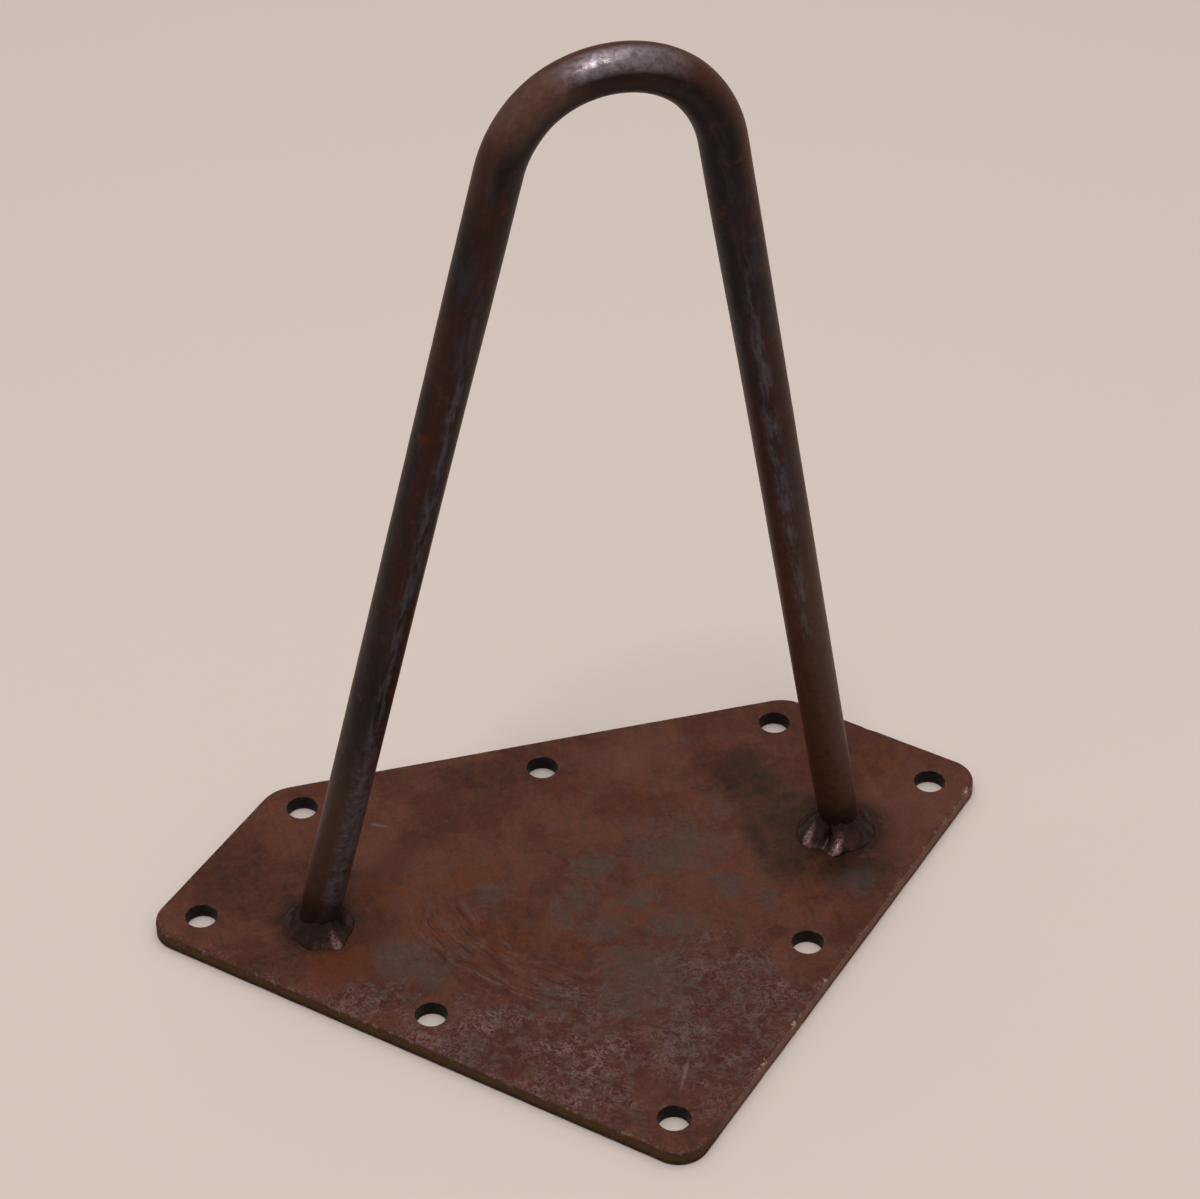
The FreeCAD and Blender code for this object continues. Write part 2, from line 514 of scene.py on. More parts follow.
# A bead's lumps, as (turn at the plate, turn at the top, half width, extra reach, climb, thickness,
# highlight and dark: above 0 a painted highlight on the crest, below 0 a darker colour)
right_lumps = [
    (206, 172, 22, 1.9, 0.5, 0.75, 0.3),
    (214, 180, 10, 0.0, 0.0, 0.3, 0.65),
    (229, 224, 7, -0.9, -0.6, -0.6, 0.0),
    (175, 160, 22, 1.3, 0.0, 0.0, 0.0),
    (0, 0, 42, -1.4, 0.0, 0.0, 0.0),
    (238, 268, 13, 1.9, 0.1, 0.6, 0.95),
    (292, 300, 12, 0.0, 0.0, -0.2, 0.0),
    (320, 330, 28, 0.0, 0.0, 0.0, -0.6),
    (90, 90, 60, -0.9, -0.9, 0.0, 0.0),
]
left_lumps = [
    (185, 195, 30, -1.2, -0.8, 0.0, -0.5),
    (222, 222, 18, -0.9, 0.0, -0.2, -0.5),
    (252, 250, 14, 0.4, 0.2, 0.35, 0.5),
    (271, 266, 9, 0.0, -0.2, -0.2, 0.0),
    (290, 282, 15, 1.9, 0.0, 0.4, 0.85),
    (325, 318, 16, 0.0, 0.2, 0.2, -0.3),
    (90, 90, 60, -0.7, -0.8, 0.0, 0.0),
]


def lump_sums(lumps, turn, rise):
    """Extra reach, climb, thickness and highlight paint (darker where below 0) at a turn round the bar and
    a share of the climb.
    """
    sums = [0.0, 0.0, 0.0, 0.0]
    for low_turn, high_turn, width, *extras in lumps:
        gap = (turn - low_turn - (high_turn - low_turn) * rise + 180) % 360 - 180
        share = math.exp(-((gap / width) ** 2))
        sums = [total + extra * share for total, extra in zip(sums, extras)]
    return sums


def bead_column(turn, bar_radius, reach, climb, ripples, lumps, seed):
    """(distance from the bar's axis, height, share of the climb, highlight paint that darkens below 0) rows
    of a bead at one turn.
    """
    angle = math.radians(turn)
    column = []
    for row in range(weld_rows + 1):
        rise = row / weld_rows
        more_reach, more_climb, thicker, highlight_and_dark = lump_sums(lumps, turn, rise)
        wave = abs(math.sin((ripples * angle + ripple_slant * rise) / 2)) - ripple_level
        spot = (bar_radius * 2 * math.cos(angle), bar_radius * 2 * math.sin(angle), 2 * reach * rise)
        lumpy = ripple_noise(spot, lump_size, seed)
        swell = (ripple_rise * wave + lump_rise * lumpy + thicker) * math.sin(math.pi * rise)
        toe = toe_roll * math.exp(-(((rise - toe_rise) / toe_width) ** 2))
        swell += toe * min(1.0, toe_start * rise)
        arc = math.pi / 2 * rise
        out = bar_radius + (reach + more_reach + swell) * math.cos(arc) ** weld_fullness
        out -= weld_bite * rise**3
        height = (climb + more_climb + swell) * math.sin(arc) ** weld_fullness
        height -= weld_sink * (1 - rise)
        column.append((out, height, rise, highlight_and_dark))
    column.append((bar_radius - weld_bite, column[-1][1], 1.0, 0.0))
    column.append((bar_radius - weld_bite, -weld_sink, 0.0, 0.0))
    return column


def make_weld(name, side, bead, material):
    """A fillet bead round one foot, hollow towards the bar, rolled at its toe, rippled and lumpy."""
    splay = leg_splay()
    direction = loop_up * math.cos(splay) - Vector((side * math.sin(splay), 0, 0))
    foot = in_loop(side * foot_spacing / 2, 0)
    bar_radius = rod_radius / direction.z
    columns = []
    vertices, faces, rises, highlights_and_darks = [], [], [], []
    for step in range(weld_around):
        turn = 360 * step / weld_around
        angle = math.radians(turn)
        around = Vector((math.cos(angle), math.sin(angle), 0))
        ring = []
        for out, height, rise, highlight_and_dark in bead_column(turn, bar_radius, *bead):
            centre = foot + direction * (height / direction.z)
            ring.append(centre + around * out)
            rises.append(rise)
            highlights_and_darks.append(highlight_and_dark)
        columns.append(add_ring(vertices, ring))
    for index in range(weld_around):
        join_rings(faces, columns[index], columns[(index + 1) % weld_around])
    attributes = [("bead_rise", "FLOAT", "value", rises), ("bead_highlight_and_dark", "FLOAT", "value", highlights_and_darks)]
    return make_piece(name, vertices, faces, material, attributes)


# Colours, as 0 to 255 screen values
red_brown = (69, 34, 24)
warm_brown = (82, 45, 32)
deep_red = (60, 22, 15)
orange_rust = (80, 38, 10)
grey_scale = (70, 53, 46)
olive = (36, 24, 12)
pale_brown = (94, 56, 46)
vein_pink = (112, 86, 84)
vein_blue = (96, 82, 84)
dark_stain = (36, 16, 9)
blue_grey = (58, 54, 54)
swirl_grey = (84, 68, 64)
side_brown = (70, 45, 22)
# painted light on the sides to the right
side_painted_light = (118, 79, 70)
# painted shade low on the sides, next to the floor
side_low_shade = (62, 48, 26)
# painted shade on the walls of the holes
hole_painted_shade = (16, 8, 5)
worn_metal = (170, 148, 130)
rod_black = (20, 11, 8)
rod_brown = (44, 20, 11)
rod_blue = (38, 35, 38)
# pale streak colour, partly a painted sheen on the front of the legs
rod_pale_sheen = (74, 68, 71)
rod_foot_grey = (84, 76, 80)
rod_foot_brown = (64, 40, 27)
# painted highlight colour on the rubbed top of the bend
rod_bare_highlight = (176, 170, 182)
rod_rim = (190, 100, 60)
rod_worn = (98, 72, 62)
weld_brown = (50, 30, 24)
weld_dark = (22, 13, 9)
# painted highlight colour on the weld crests
weld_bare_highlight = (150, 118, 118)
weld_tint = (255, 222, 218)
floor_colour = (200, 186, 177)


def linear(colour):
    """A screen colour as the linear values that a shader takes."""
    parts = []
    for part in colour:
        share = part / 255
        parts.append(share / 12.92 if share <= 0.04045 else ((share + 0.055) / 1.055) ** 2.4)
    return (*parts, 1.0)


class Shader:
    """The nodes of one material or of the world. An input is a number, a tuple or another node's output."""

    def __init__(self, name, world=False):
        self.owner = bpy.data.worlds.new(name) if world else bpy.data.materials.new(name)
        self.owner.use_nodes = True
        self.tree = self.owner.node_tree
        self.tree.nodes.clear()
        self.output = self.tree.nodes.new("ShaderNodeOutputWorld" if world else "ShaderNodeOutputMaterial")

    def add(self, kind, inputs, **settings):
        node = self.tree.nodes.new("ShaderNode" + kind)
        for name, value in settings.items():
            setattr(node, name, value)
        for name, value in inputs.items():
            if isinstance(value, bpy.types.NodeSocket):
                self.tree.links.new(value, node.inputs[name])
            else:
                node.inputs[name].default_value = value
        return node

    def place(self):
        """Object coordinates in millimetres."""
        coordinates = self.add("TexCoord", {})
        return self.scaled(coordinates.outputs["Object"], 1 / METRE)

    def scaled(self, vector, factor):
        return self.add("VectorMath", {0: vector, "Scale": factor}, operation="SCALE").outputs[0]

    def stretched(self, vector, factors):
        return self.add("VectorMath", {0: vector, 1: factors}, operation="MULTIPLY").outputs[0]

    def moved(self, vector, offset):
        return self.add("VectorMath", {0: vector, 1: offset}, operation="ADD").outputs[0]

    def length(self, vector):
        return self.add("VectorMath", {0: vector}, operation="LENGTH").outputs["Value"]

    def axes(self, vector):
        """The vector's x, y and z."""
        return tuple(self.add("SeparateXYZ", {0: vector}).outputs)

    def math(self, operation, first, second=0.0, third=0.0):
        return self.add("Math", {0: first, 1: second, 2: third}, operation=operation).outputs[0]

    def line(self, value, slope, start):
        """The value times slope, plus start."""
        return self.math("MULTIPLY_ADD", value, slope, start)

    def apart(self, value, middle):
        """How far the value is from the middle."""
        return self.math("ABSOLUTE", self.math("SUBTRACT", value, middle))

    def product(self, *values):
        result = values[0]
        for value in values[1:]:
            result = self.math("MULTIPLY", result, value)
        return result

    def step(self, value, low, high):
        """0 below low, 1 above high and smooth between, or the other way round where low is above high."""
        inputs = {0: value, 1: low, 2: high, 3: 0.0, 4: 1.0}
        if low > high:
            inputs |= {1: high, 2: low, 3: 1.0, 4: 0.0}
        return self.add("MapRange", inputs, interpolation_type="SMOOTHSTEP").outputs[0]

    def noise(self, vector, size, detail, roughness, distortion=0.0):
        """Noise from 0 to 1 whose largest lumps are about size millimetres across."""
        inputs = {"Vector": vector, "Scale": 1 / size, "Detail": detail}
        inputs |= {"Roughness": roughness, "Distortion": distortion}
        return self.add("TexNoise", inputs).outputs[0]

    def drifted(self, vector, size, reach):
        """The places moved about by a soft noise, so that what is drawn on them is bent."""
        soft = self.add("TexNoise", {"Vector": vector, "Scale": 1 / size, "Detail": 2.0}).outputs["Color"]
        return self.moved(vector, self.scaled(self.moved(soft, (-0.5, -0.5, -0.5)), 2 * reach))

    def ridge(self, value, width):
        """Thin lines where the value passes its middle."""
        return self.step(self.apart(value, 0.5), width, width * 0.2)

    def near(self, place, patches, wobble):
        """Nearness to the closest of several (x, y, half width, half depth) patches: under 1 is inside."""
        nearest = None
        for x, y, wide, deep in patches:
            offset = self.moved(place, (-x, -y, 0))
            length = self.length(self.stretched(offset, (1 / wide, 1 / deep, 0)))
            nearest = length if nearest is None else self.math("MINIMUM", nearest, length)
        return self.math("ADD", nearest, wobble)

    def blend(self, share, first, second):
        """A colour between two, each a screen colour or an output."""
        inputs = {0: share, 6: first, 7: second}
        for key in (6, 7):
            if isinstance(inputs[key], tuple):
                inputs[key] = linear(inputs[key])
        return self.add("Mix", inputs, data_type="RGBA").outputs[2]

    def over(self, colour, paint, *shares):
        """The colour with a paint over it, as strong as the product of the shares."""
        return self.blend(self.product(*shares), colour, paint)

    def tinted(self, colour, shade):
        """The colour darkened or lightened by a grey share."""
        inputs = {0: 1.0, 6: colour, 7: shade}
        return self.add("Mix", inputs, data_type="RGBA", blend_type="MULTIPLY").outputs[2]

    def attribute(self, name, output="Fac"):
        return self.add("Attribute", {}, attribute_name=name).outputs[output]

    def bump(self, height, depth, below=None):
        inputs = {"Height": height, "Distance": depth * METRE, "Strength": 1.0}
        if below is not None:
            inputs["Normal"] = below
        return self.add("Bump", inputs).outputs[0]

    def seen(self):
        """1 for what the camera sees, straight or by gloss and glass, and 0 for the light on things."""
        rays = self.add("LightPath", {}).outputs
        shown = self.math("MAXIMUM", rays["Is Camera Ray"], rays["Is Glossy Ray"])
        return self.math("MAXIMUM", shown, rays["Is Transmission Ray"])

    def surface(self, **inputs):
        names = {name.replace("_", " "): value for name, value in inputs.items()}
        return self.add("BsdfPrincipled", names).outputs[0]

    def finish(self, look):
        self.tree.links.new(look, self.output.inputs[0])
        return self.owner


# Places on the plate, as (x, y, half width, half depth)
grey_patches = [
    (-47, -18, 9, 8), (-17, -39, 5, 4.5), (17, -23, 7, 4), (11, -12, 5, 3), (25, 4, 13, 9),
    (33, -13, 4, 5), (-22, -1, 4, 4), (-3, -8, 4, 4), (4, -33, 10, 8), (-2, -44, 9, 7),
    (8, -61, 5, 8), (3, 2, 6, 4), (39, 14, 3, 6), (41, -19, 3, 3), (13, -40, 4, 9),
    (0, -20, 6, 4), (-8, -12, 3, 6),
]
grey_region = [(4, -12, 46, 32)]
orange_patches = [
    (-42, -8, 7, 10), (-50, 6, 9, 8), (-26, 6, 7, 5), (84, 22, 6, 5), (-27, -14, 8, 5),
    (47, 20, 4, 5), (-8, -22, 7, 4), (-22, -18, 9, 5), (-60, -14, 9, 6),
]
olive_patches = [
    (53, 6, 9, 15), (45, 2, 3, 13), (50, 26, 5, 8), (50, -8, 7, 8), (62, -14, 10, 4),
    (50, 20, 9, 7),
]
stain_patches = [
    (-16, 41, 10, 6), (41, 27, 7, 9), (-80, 22, 12, 9), (-60, 14, 8, 10), (68, -18, 9, 7),
    (-72, 10, 12, 6), (-80, -12, 8, 6), (-53, -4, 5, 7), (40, -31, 2.2, 2.2),
]
blue_patches = [(63, -20, 5, 4)]
solid_patches = [
    (-17, -39, 4.6, 4.2), (-48, -17, 7, 7), (-43, -24, 4, 5), (9, -41, 6, 9), (-3, -44, 5, 4),
]
vein_patches = [
    (-16, -60, 19, 19), (15, -62, 16, 20), (-38, -48, 17, 12), (-60, -28, 11, 5),
    (24, -42, 12, 12), (33, -52, 8, 8),
]
clear_patches = [
    (0, -73, 5, 4), (-11, -82, 9, 5), (-22, -49, 8, 3), (-8, -51, 8, 3), (-31, -58, 4, 6),
]
vein_blue_patches = [(18, -66, 14, 12), (-40, -52, 8, 6), (8, -50, 8, 8), (24, -44, 12, 14)]
pale_patches = [(88, 2, 16, 12), (22, 36, 14, 7), (-43, 16, 10, 7)]
calm_patches = [(-78, 8, 34, 30), (80, 18, 20, 24)]
worn_edge_places = [(26, -69, 5, 5), (35, -60, 5, 5), (44, -49, 3, 3), (101, 4, 3, 3)]

# Layers of colour on the plate, as (patches, colour, strength, how far their edges wander)
paint_layers = [
    (pale_patches, pale_brown, 0.45, 1.0),
    (olive_patches, olive, 0.88, 0.4),
    (stain_patches, dark_stain, 0.6, 0.8),
    (blue_patches, blue_grey, 0.6, 1.0),
    (solid_patches, grey_scale, 0.75, 0.4),
]
wander_reach = 3.2

# Marks on the plate, in millimetres, with scratches as (start x, start y, end x, end y)
scratches = [(3, -76, 9, -64), (-47, 31, -41, 28)]
scratch_width = 0.7
swirl_centre = (12, 2)
swirl_radius = 49.0
swirl_half_width = (14.0, 4.0)
swirl_turn = 214.0
swirl_half_turn = (0.85, 0.3)
right_halo = (12.5, 12)
left_halo = (10.8, 10.5)
fleck_band = (6.0, 1.0)
side_change = (4.0, 16.0)
# height below which the sides get painted shade
side_shade_height = (1.9, 1.0)

# How strongly each layer covers the plate
orange_strength = 0.75
underlay_strength = 0.7
vein_strength = 0.8
vein_blue_loss = 0.25
groove_strength = 0.75
ridge_strength = 0.55
scratch_strength = 0.5
halo_strength = 0.8
fleck_strength = 0.4
side_strength = 0.9
side_shade_strength = 0.75
edge_strength = 0.25
plate_gloss = 0.14


def plate_rust(s, place, mottle):
    """The rust bloom: red-brown to warm brown, with orange specks and faint olive rolling streaks."""
    broad = s.noise(place, 16, 6, 0.6, 0.5)
    blotch = s.noise(place, 7, 7, 0.7, 0.3)
    bent = s.drifted(s.moved(place, (40, 0, 0)), 8, 1.5)
    streak = s.noise(s.stretched(bent, (1, 0.14, 1)), 2.0, 6, 0.7, 0.5)
    colour = s.blend(s.step(broad, 0.4, 0.6), red_brown, warm_brown)
    colour = s.over(colour, deep_red, s.step(blotch, 0.5, 0.7), 0.4)
    colour = s.over(colour, orange_rust, s.step(mottle, 0.48, 0.68), 0.5)
    greyed = s.step(s.noise(s.moved(place, (90, 20, 0)), 4.5, 8, 0.75, 0.6), 0.5, 0.64)
    lively = s.line(s.step(s.near(place, calm_patches, 0.0), 0.7, 1.2), 0.3, 0.1)
    colour = s.over(colour, grey_scale, greyed, lively)
    return s.over(colour, olive, s.step(streak, 0.5, 0.68), 0.28)


def plate_scale(s, place, wander):
    """How much grey mill scale is left: patches that break up at their edges, with rust showing through."""
    texture = s.noise(place, 5, 9, 0.78, 0.8)
    near_patch = s.step(s.near(place, grey_patches, wander), 1.5, 0.3)
    in_region = s.step(s.near(place, grey_region, wander), 1.3, 0.5)
    cover = s.line(near_patch, 0.22, s.line(in_region, 0.07, texture))
    through = s.step(s.noise(place, 1.7, 5, 0.7), 0.4, 0.56)
    return s.product(s.step(cover, 0.57, 0.76), s.line(through, 0.45, 0.5))


def plate_veins(s, place, wander):
    """The veined zone near the outer corner, and the pale veins in it."""
    zone = s.step(s.near(place, vein_patches, wander), 1.55, 0.5)
    clear = s.line(s.step(s.near(place, clear_patches, wander), 0.4, 1.4), 0.8, 0.2)
    wide = s.ridge(s.noise(place, 5.0, 3, 0.55, 1.8), 0.04)
    fine = s.ridge(s.noise(place, 3.0, 2, 0.5, 1.5), 0.055)
    gaps = s.step(s.noise(place, 6.0, 5, 0.7), 0.34, 0.6)
    return zone, s.product(zone, clear, gaps, s.math("MAXIMUM", wide, s.product(fine, 0.7)))


def plate_swirl(s, place):
    """Wavy bands round the swirl's centre, over one sector of its ring: dark ones and light ones."""
    offset = s.moved(s.drifted(place, 9, 1.8), (-swirl_centre[0], -swirl_centre[1], 0))
    x, y, _ = s.axes(offset)
    angle = s.math("ARCTAN2", y, x)
    radius = s.length(s.stretched(offset, (1, 1, 0)))
    streak = s.add("CombineXYZ", {0: radius, 1: s.product(angle, 9.0)}).outputs[0]
    grooves = s.noise(streak, 1.7, 6, 0.7, 0.5)
    in_turn = s.step(s.apart(angle, math.radians(swirl_turn - 360)), *swirl_half_turn)
    in_ring = s.step(s.apart(radius, swirl_radius), *swirl_half_width)
    zone = s.product(in_turn, in_ring)
    return s.product(zone, s.step(grooves, 0.52, 0.6)), s.product(zone, s.step(grooves, 0.46, 0.38))


def plate_scratches(s, place):
    """Short thin lines from one end to the other, fading towards both."""
    marks = 0.0
    for start_x, start_y, end_x, end_y in scratches:
        start, end = Vector((start_x, start_y, 0)), Vector((end_x, end_y, 0))
        offset = s.moved(place, tuple(-(start + end) / 2))
        along = (end - start).normalized() / ((end - start).length / 2)
        across = Vector((-along.y, along.x, 0)).normalized() / scratch_width
        shares = []
        for axis in (along, across):
            share = s.add("VectorMath", {0: offset, 1: tuple(axis)}, operation="DOT_PRODUCT")
            shares.append(share.outputs["Value"])
        spread = s.add("CombineXYZ", {0: shares[0], 1: shares[1]}).outputs[0]
        marks = s.math("MAXIMUM", marks, s.step(s.length(spread), 1.0, 0.3))
    return marks


def plate_halos(s, place, wander):
    """The burnt halo round each foot, with a darker ring close to the bead."""
    feet = [(foot_spacing / 2, -1.0, *right_halo), (-foot_spacing / 2, 0.0, *left_halo)]
    from_feet = s.near(place, feet, s.product(wander, 0.25))
    ring = s.product(s.step(from_feet, 0.92, 0.8), 1.15)
    return s.math("MAXIMUM", s.step(from_feet, 1.25, 0.65), ring)


def plate_flecks(s, place, grain, wander):
    """Pale flecks in a narrow band along the left long side."""
    x, y, _ = s.axes(place)
    diagonal = math.sqrt(0.5)
    from_left_side = s.line(s.math("ADD", x, y), diagonal, corner_to_feet * diagonal)
    band = s.step(from_left_side, *fleck_band)
    return s.product(band, s.step(grain, 0.46, 0.62), s.step(wander, -0.3, 0.5))


def plate_sides(s, place, colour):
    """The sheared sides, painted paler to the right as painted light and darker low down as painted shade,
    and painted shade on the walls of the holes.
    """
    x, _, z = s.axes(place)
    side_face = s.attribute("side_face")
    right_side = s.step(x, *side_change)
    low = s.step(z, *side_shade_height)
    # the sides on the right painted paler, as painted light
    colour = s.over(colour, s.blend(right_side, side_brown, side_painted_light), side_face, side_strength)
    # painted shade on the lower part of the sides, next to the floor
    colour = s.over(colour, s.blend(right_side, olive, side_low_shade), side_face, low, side_shade_strength)
    # painted shade on the hole walls
    return s.blend(s.attribute("hole_wall"), colour, hole_painted_shade)


def plate_wear(s, place, edge):
    """Bare steel along the rims: bright specks in a few worn places, and faint ones elsewhere."""
    worn_zone = s.step(s.near(place, worn_edge_places, 0.0), 1.4, 0.4)
    speck = s.step(s.noise(place, 1.6, 4, 0.6), 0.52, 0.62)
    return s.product(edge, s.math("MAXIMUM", s.product(worn_zone, speck, 0.8), s.product(speck, 0.12)))


def plate_steel():
    """Raw plate: rust, mill scale left in patches, veins, a swirl, burnt halos and worn edges."""
    s = Shader("plate_steel")
    place = s.place()
    mottle = s.noise(place, 2.6, 7, 0.74, 0.4)
    grain = s.noise(place, 0.8, 5, 0.7)
    wander = s.line(s.noise(place, 5, 7, 0.75), wander_reach, -wander_reach / 2)
    broken = s.step(mottle, 0.38, 0.56)
    colour = plate_rust(s, place, mottle)
    orange = s.step(s.near(place, orange_patches, wander), 1.5, 0.3)
    colour = s.over(colour, orange_rust, orange, broken, orange_strength)
    scale = plate_scale(s, place, wander)
    colour = s.blend(scale, colour, grey_scale)
    for patches, paint, strength, wobble in paint_layers:
        zone = s.step(s.near(place, patches, s.product(wander, wobble)), 1.5, 0.4)
        colour = s.over(colour, paint, zone, s.line(broken, -0.2, strength))

    vein_zone, veins = plate_veins(s, place, wander)
    underlay = s.blend(s.step(s.noise(place, 3.4, 5, 0.7, 0.5), 0.46, 0.6), deep_red, grey_scale)
    colour = s.over(colour, underlay, vein_zone, underlay_strength)
    bluish = s.step(s.near(place, vein_blue_patches, wander), 1.6, 0.4)
    vein_colour = s.blend(bluish, vein_pink, vein_blue)
    colour = s.over(colour, vein_colour, veins, s.line(bluish, -vein_blue_loss, vein_strength))
    grooves, ridges = plate_swirl(s, place)
    colour = s.over(colour, deep_red, grooves, groove_strength)
    colour = s.over(colour, swirl_grey, ridges, ridge_strength)
    colour = s.over(colour, vein_pink, plate_scratches(s, place), scratch_strength)
    colour = s.over(colour, dark_stain, plate_halos(s, place, wander), halo_strength)
    colour = s.over(colour, vein_pink, plate_flecks(s, place, grain, wander), fleck_strength)
    colour = plate_sides(s, place, colour)
    edge = s.attribute("edge_wear")
    worn = plate_wear(s, place, edge)
    colour = s.over(colour, olive, edge, edge_strength)
    colour = s.blend(worn, colour, worn_metal)
    shade = s.math("ADD", s.line(grain, 0.8, 0.05), s.product(mottle, 1.1))

    rough = s.line(s.attribute("side_face"), 0.25, s.line(mottle, 0.3, 0.36))
    metal = s.line(worn, 0.8, s.product(scale, 0.1))
    normal = s.bump(s.noise(place, 0.5, 5, 0.7), 0.03)
    normal = s.bump(s.math("ADD", mottle, s.product(veins, 0.25)), 0.1, normal)
    looks = {"Base_Color": s.tinted(colour, shade), "Roughness": rough, "Metallic": metal, "Normal": normal}
    return s.finish(s.surface(**looks, Specular_IOR_Level=plate_gloss))


# Places on the rod, in millimetres along it from the crown's middle, towards the left foot
# where the rubbed metal and its painted highlight lie on the bend
rubbed_highlight_middle = -1.5
rubbed_highlight_reach = (15.0, 5.0)
worn_middle = 18.0
worn_reach = (14.0, 3.0)
bent_reach = (60, 24)
burnt_reach = 17.0
# where the pale streaks with their painted sheen run down the legs
sheen_streak_zone = (40.0, 100.0)
right_sheen_streak_end = (-205.0, -175.0)
left_foot_zone = (185.0, 225.0)
right_leg_zone = (-120.0, -180.0)
right_lift_zone = (-15.0, -60.0)

# How strongly each layer covers the rod
left_foot_strength = 0.6
right_leg_strength = 0.8
foot_grey_strength = 0.85
# how strongly the pale streaks with their painted sheen cover the legs
streak_sheen_strength = 0.7
bent_strength = 0.45
worn_strength = 0.45
# how strongly the painted highlight colour covers the rubbed metal
bare_highlight_strength = 0.4
burnt_strength = 0.75
right_lift = 0.2
rod_gloss = 0.12
rod_sheen = 0.2
rod_sheen_roughness = 0.22


def rod_scale(s, place, along):
    """Dark mill scale with blotches drawn out along the bar, browner towards the feet."""
    long = s.stretched(place, (0.25, 1, 1))
    broad = s.noise(long, 12, 5, 0.6, 0.3)
    blotch = s.noise(long, 4.5, 6, 0.65, 0.4)
    colour = s.blend(s.step(broad, 0.4, 0.6), rod_black, rod_brown)
    colour = s.over(colour, rod_blue, s.step(blotch, 0.5, 0.66), 0.75)
    colour = s.over(colour, orange_rust, s.step(s.noise(place, 5, 6, 0.7), 0.56, 0.68), 0.45)
    for zone, strength in ((left_foot_zone, left_foot_strength), (right_leg_zone, right_leg_strength)):
        colour = s.over(colour, rod_foot_brown, s.step(along, *zone), strength)
    return colour


def rod_streaks_and_sheen(s, place, colour, mottle):
    """Grey on the front of the left foot, and pale streaks down the front of both legs, partly mill scale
    and partly a painted sheen.
    """
    along, outward, front = s.axes(place)
    in_front = s.step(front, 0.5, 3.5)
    middle = s.step(s.apart(outward, -1.2), 4.2, 1.5)
    greyed = s.product(s.step(along, *left_foot_zone), middle, s.step(mottle, 0.25, 0.75))
    colour = s.over(colour, rod_foot_grey, greyed, in_front, foot_grey_strength)
    # a pale strip on the front of each leg, partly mill-scale streaks and partly a painted sheen
    sheen_strip = s.product(s.step(s.apart(outward, -0.9), 2.6, 0.4), in_front)
    sheen_strip = s.product(sheen_strip, s.step(s.math("ABSOLUTE", along), *sheen_streak_zone))
    sheen_strip = s.product(sheen_strip, s.step(along, *right_sheen_streak_end))
    streaks = s.step(s.noise(s.stretched(place, (0.2, 1, 1)), 1.6, 6, 0.7), 0.42, 0.62)
    return s.over(colour, rod_pale_sheen, sheen_strip, streaks, streak_sheen_strength)


def rod_crown(s, place, colour):
    """The bend, browner outside, worn on the left shoulder, and rubbed to bright metal on top with a
    painted highlight there; also where that metal and highlight lie.
    """
    along, outward, front = s.axes(place)
    speck = s.noise(place, 1.3, 7, 0.75, 0.3)
    topside = s.step(s.line(outward, 0.87, s.product(front, 0.5)), 3.7, 4.9)
    near_crown = s.step(s.apart(along, rubbed_highlight_middle), *rubbed_highlight_reach)
    # rubbed bright metal on the upper front of the bend, lightened as a painted highlight
    bare_and_highlight = s.product(topside, near_crown, s.line(s.step(speck, 0.36, 0.6), 0.65, 0.35))
    bare_and_highlight = s.product(bare_and_highlight, s.line(s.step(along, -14.0, 2.0), 0.5, 0.5))
    bent = s.product(s.step(outward, 1.0, 4.0), s.step(s.math("ABSOLUTE", along), *bent_reach))
    outer_front = s.step(s.math("ADD", front, outward), 2.5, 6.0)
    worn_left = s.product(s.step(s.apart(along, worn_middle), *worn_reach), outer_front)
    colour = s.over(colour, warm_brown, bent, bent_strength)
    colour = s.over(colour, rod_worn, worn_left, worn_strength)
    return s.over(colour, rod_bare_highlight, bare_and_highlight, bare_highlight_strength), bare_and_highlight


def rod_steel():
    """Rolled bar: dark mill scale with rust, pale streaks with a painted sheen down the legs, and rubbed
    bright metal with a painted highlight on the bend.
    """
    s = Shader("rod_steel")
    place = s.attribute("bar_place", "Vector")
    along = s.axes(place)[0]
    mottle = s.noise(place, 1.8, 6, 0.7)
    colour = rod_scale(s, place, along)
    colour = rod_streaks_and_sheen(s, place, colour, mottle)
    colour, bare_and_highlight = rod_crown(s, place, colour)
    foot = rod_half_length()
    burnt = s.step(s.math("ABSOLUTE", along), foot - burnt_reach, foot - burnt_reach / 2)
    colour = s.over(colour, weld_dark, burnt, burnt_strength)
    lift = s.line(s.step(along, *right_lift_zone), right_lift, 1.0)
    shade = s.product(lift, s.line(mottle, 1.4, 0.3))

    rough = s.line(bare_and_highlight, -0.16, s.line(mottle, 0.3, 0.3))
    normal = s.bump(mottle, 0.09, s.bump(s.noise(place, 0.6, 5, 0.7), 0.03))
    looks = {"Base_Color": s.tinted(colour, shade), "Roughness": rough}
    looks |= {"Metallic": s.product(bare_and_highlight, 0.8), "Normal": normal}
    sheen = {"Sheen_Weight": rod_sheen, "Sheen_Roughness": rod_sheen_roughness}
    return s.finish(s.surface(**looks, **sheen, Sheen_Tint=linear(rod_rim), Specular_IOR_Level=rod_gloss))


weld_gloss = 0.22


